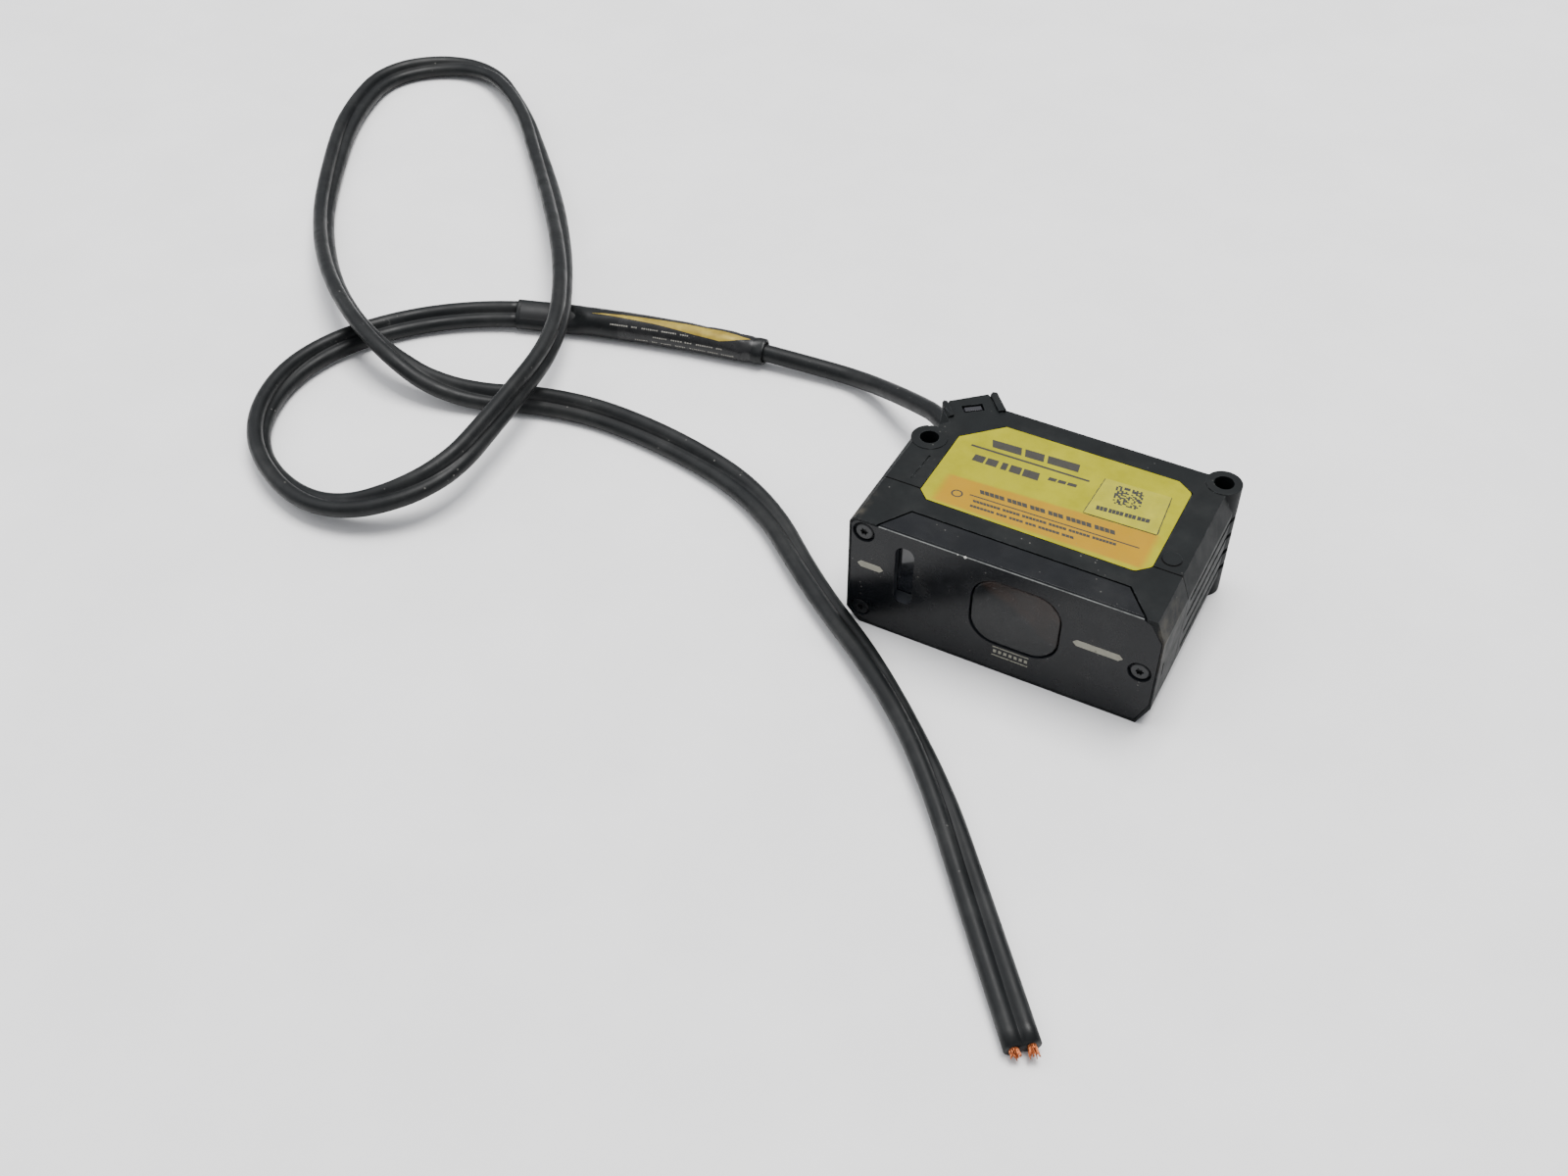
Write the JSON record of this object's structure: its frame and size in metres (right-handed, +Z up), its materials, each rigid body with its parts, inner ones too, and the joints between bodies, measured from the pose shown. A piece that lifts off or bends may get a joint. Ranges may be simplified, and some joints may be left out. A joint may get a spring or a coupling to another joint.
{
  "type": "photoelectric laser distance sensor head",
  "caption": "Compact rectangular laser distance sensor head with a glossy front panel, smoked receiver window, slot window and a free cable with splice sleeve and cut end.",
  "frame": {"origin": "under the middle of the sensor head's box, at the height of its flat bottom", "axes": "+Z up through the label side; -Y out of the optical front face; +X to the right seen from the front"},
  "size_m": [0.25, 0.1986, 0.0238],
  "materials": {
    "case": "fine matte moulded texture, charcoal black",
    "panel": "glossy black",
    "seal": "matte black rubber",
    "smoked_glass": "smoked glass",
    "dark_glass": "dark filter glass",
    "black_steel": "black oxide",
    "label": "yellow satin film label",
    "sticker": "pale yellow film sticker",
    "cast_alloy": "die-cast",
    "steel": "plated steel",
    "gold": "gold plated",
    "circuit_board": "solder-masked board",
    "clear_glass": "clear optical glass",
    "black_alloy": "black anodised",
    "chip": "moulded package",
    "connector": "natural nylon",
    "led": "moulded light source",
    "dark_lens": "smoked light window",
    "rubber_black": "matte black",
    "wire_jacket": "thin coloured insulation",
    "heat_shrink": "satin black heat-shrink tube",
    "cable_label": "wrapped film label, gold and black",
    "cable_jacket": "satin black flexible jacket",
    "copper": "bare stranded copper"
  },
  "bodies": {
    "root": {"main_housing": "case", "front_frame": "case", "body_seal": "seal", "front_panel": "panel", "panel_seal": "seal", "receiver_seal": "seal", "receiver_window": "smoked_glass", "emitter_window": "dark_glass", "front_screws": "black_steel", "label_plate": "label", "serial_sticker": "sticker", "bottom_cover": "case", "cover_seal": "seal", "cover_screws": "black_steel", "optical_base": "cast_alloy", "base_screws": "steel", "laser_holder": "cast_alloy", "laser_diode": "gold", "laser_board": "circuit_board", "collimator_lens": "clear_glass", "receiver_lens": "clear_glass", "rear_lens": "clear_glass", "lens_barrel": "black_alloy", "lens_ring": "black_alloy", "image_sensor": "chip", "sensor_board": "circuit_board", "sensor_board_screws": "steel", "light_baffle": "black_alloy", "main_board": "circuit_board", "board_parts": "chip", "board_screws": "steel", "board_connector": "connector", "indicator_led": "led", "indicator_lens": "dark_lens", "strain_relief": "rubber_black", "cable_stop": "steel", "cable_wires": "wire_jacket", "splice_sleeve": "heat_shrink", "splice_core": "seal", "sleeve_label": "cable_label", "sensor_cable": "cable_jacket", "twin_cable": "cable_jacket", "copper_strands": "copper"}
  },
  "joints": []
}
